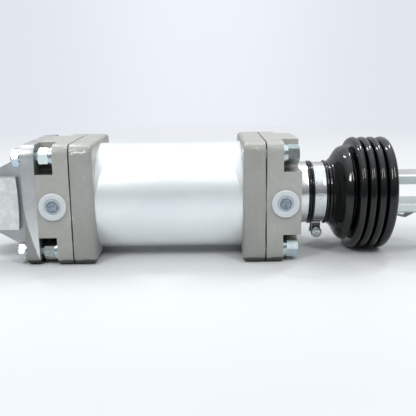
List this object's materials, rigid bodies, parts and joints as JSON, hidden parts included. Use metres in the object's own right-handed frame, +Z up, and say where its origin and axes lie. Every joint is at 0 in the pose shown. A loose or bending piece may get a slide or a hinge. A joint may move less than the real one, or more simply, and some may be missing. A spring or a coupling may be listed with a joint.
{
  "type": "pneumatic cylinder",
  "caption": "Double-acting air cylinder with square flanged covers, rear clevis with bushed pin bore, rubber rod bellows and a rod fork with clip pin.",
  "frame": {"origin": "centre of the rear clevis pin bore", "axes": "+X along the rod towards its fork, +Y along the rear pin bore with the ports on the -Y side, +Z up"},
  "size_m": [0.4276, 0.096, 0.094],
  "materials": {
    "cast_aluminium": "sand-cast and machined, satin",
    "grey_paint": "warm grey enamel on a casting, satin",
    "anodised_tube": "clear anodised, satin",
    "turned_aluminium": "turned, bright",
    "bronze": "sintered, dull",
    "seal_rubber": "smooth",
    "bellows_rubber": "moulded, glossy",
    "zinc_steel": "zinc plated, bright",
    "fork_zinc": "zinc plated, bright",
    "clamp_steel": "stainless strip, bright",
    "chromed_rod": "ground and hard chromed",
    "spring_steel": "oiled spring steel",
    "wear_plastic": "matte",
    "port_plastic": "translucent white polyethylene"
  },
  "bodies": {
    "barrel": {"rear_clevis": "cast_aluminium", "rear_pin_bushes": "bronze", "rear_cover": "grey_paint", "rear_tube_flange": "grey_paint", "cylinder_tube": "anodised_tube", "front_tube_flange": "grey_paint", "front_cover": "grey_paint", "gland_housing": "turned_aluminium", "gland_o_ring": "seal_rubber", "rod_bush": "bronze", "rod_seal": "seal_rubber", "rod_wiper": "seal_rubber", "rear_tube_o_ring": "seal_rubber", "front_tube_o_ring": "seal_rubber", "rear_wire_ring": "spring_steel", "front_wire_ring": "spring_steel", "rear_bumper": "seal_rubber", "front_bumper": "seal_rubber", "rear_studs": "zinc_steel", "rear_cover_nuts": "zinc_steel", "rear_flat_washers": "zinc_steel", "rear_spring_washers": "zinc_steel", "clevis_nuts": "zinc_steel", "clevis_spring_washers": "zinc_steel", "front_bolts": "zinc_steel", "front_flat_washers": "zinc_steel", "front_spring_washers": "zinc_steel", "rear_port_plug": "port_plastic", "front_port_plug": "port_plastic", "bellows": "bellows_rubber", "clamp_band": "clamp_steel", "clamp_screw": "zinc_steel", "clamp_nut": "zinc_steel"},
    "rod": {"piston_rod": "chromed_rod", "piston": "turned_aluminium", "piston_seals": "seal_rubber", "piston_wear_ring": "wear_plastic", "piston_o_ring": "seal_rubber", "piston_nut": "zinc_steel", "bellows_end_plate": "zinc_steel", "rod_lock_nut": "zinc_steel", "rod_fork": "fork_zinc", "end_plate_ring": "spring_steel"},
    "clip_pin": {"fork_pin": "zinc_steel", "pin_clip": "spring_steel"}
  },
  "joints": [
    {"name": "rod_slide", "type": "slide", "parent": "barrel", "child": "rod", "axis": [1, 0, 0], "range_m": [0, 0.1], "deforming": ["bellows"]},
    {"name": "clip_pin_turn", "type": "hinge", "parent": "rod", "child": "clip_pin", "pos_m": [0.3876, 0, 0], "axis": [0, 0, 1], "range_deg": [-90, 90]}
  ]
}
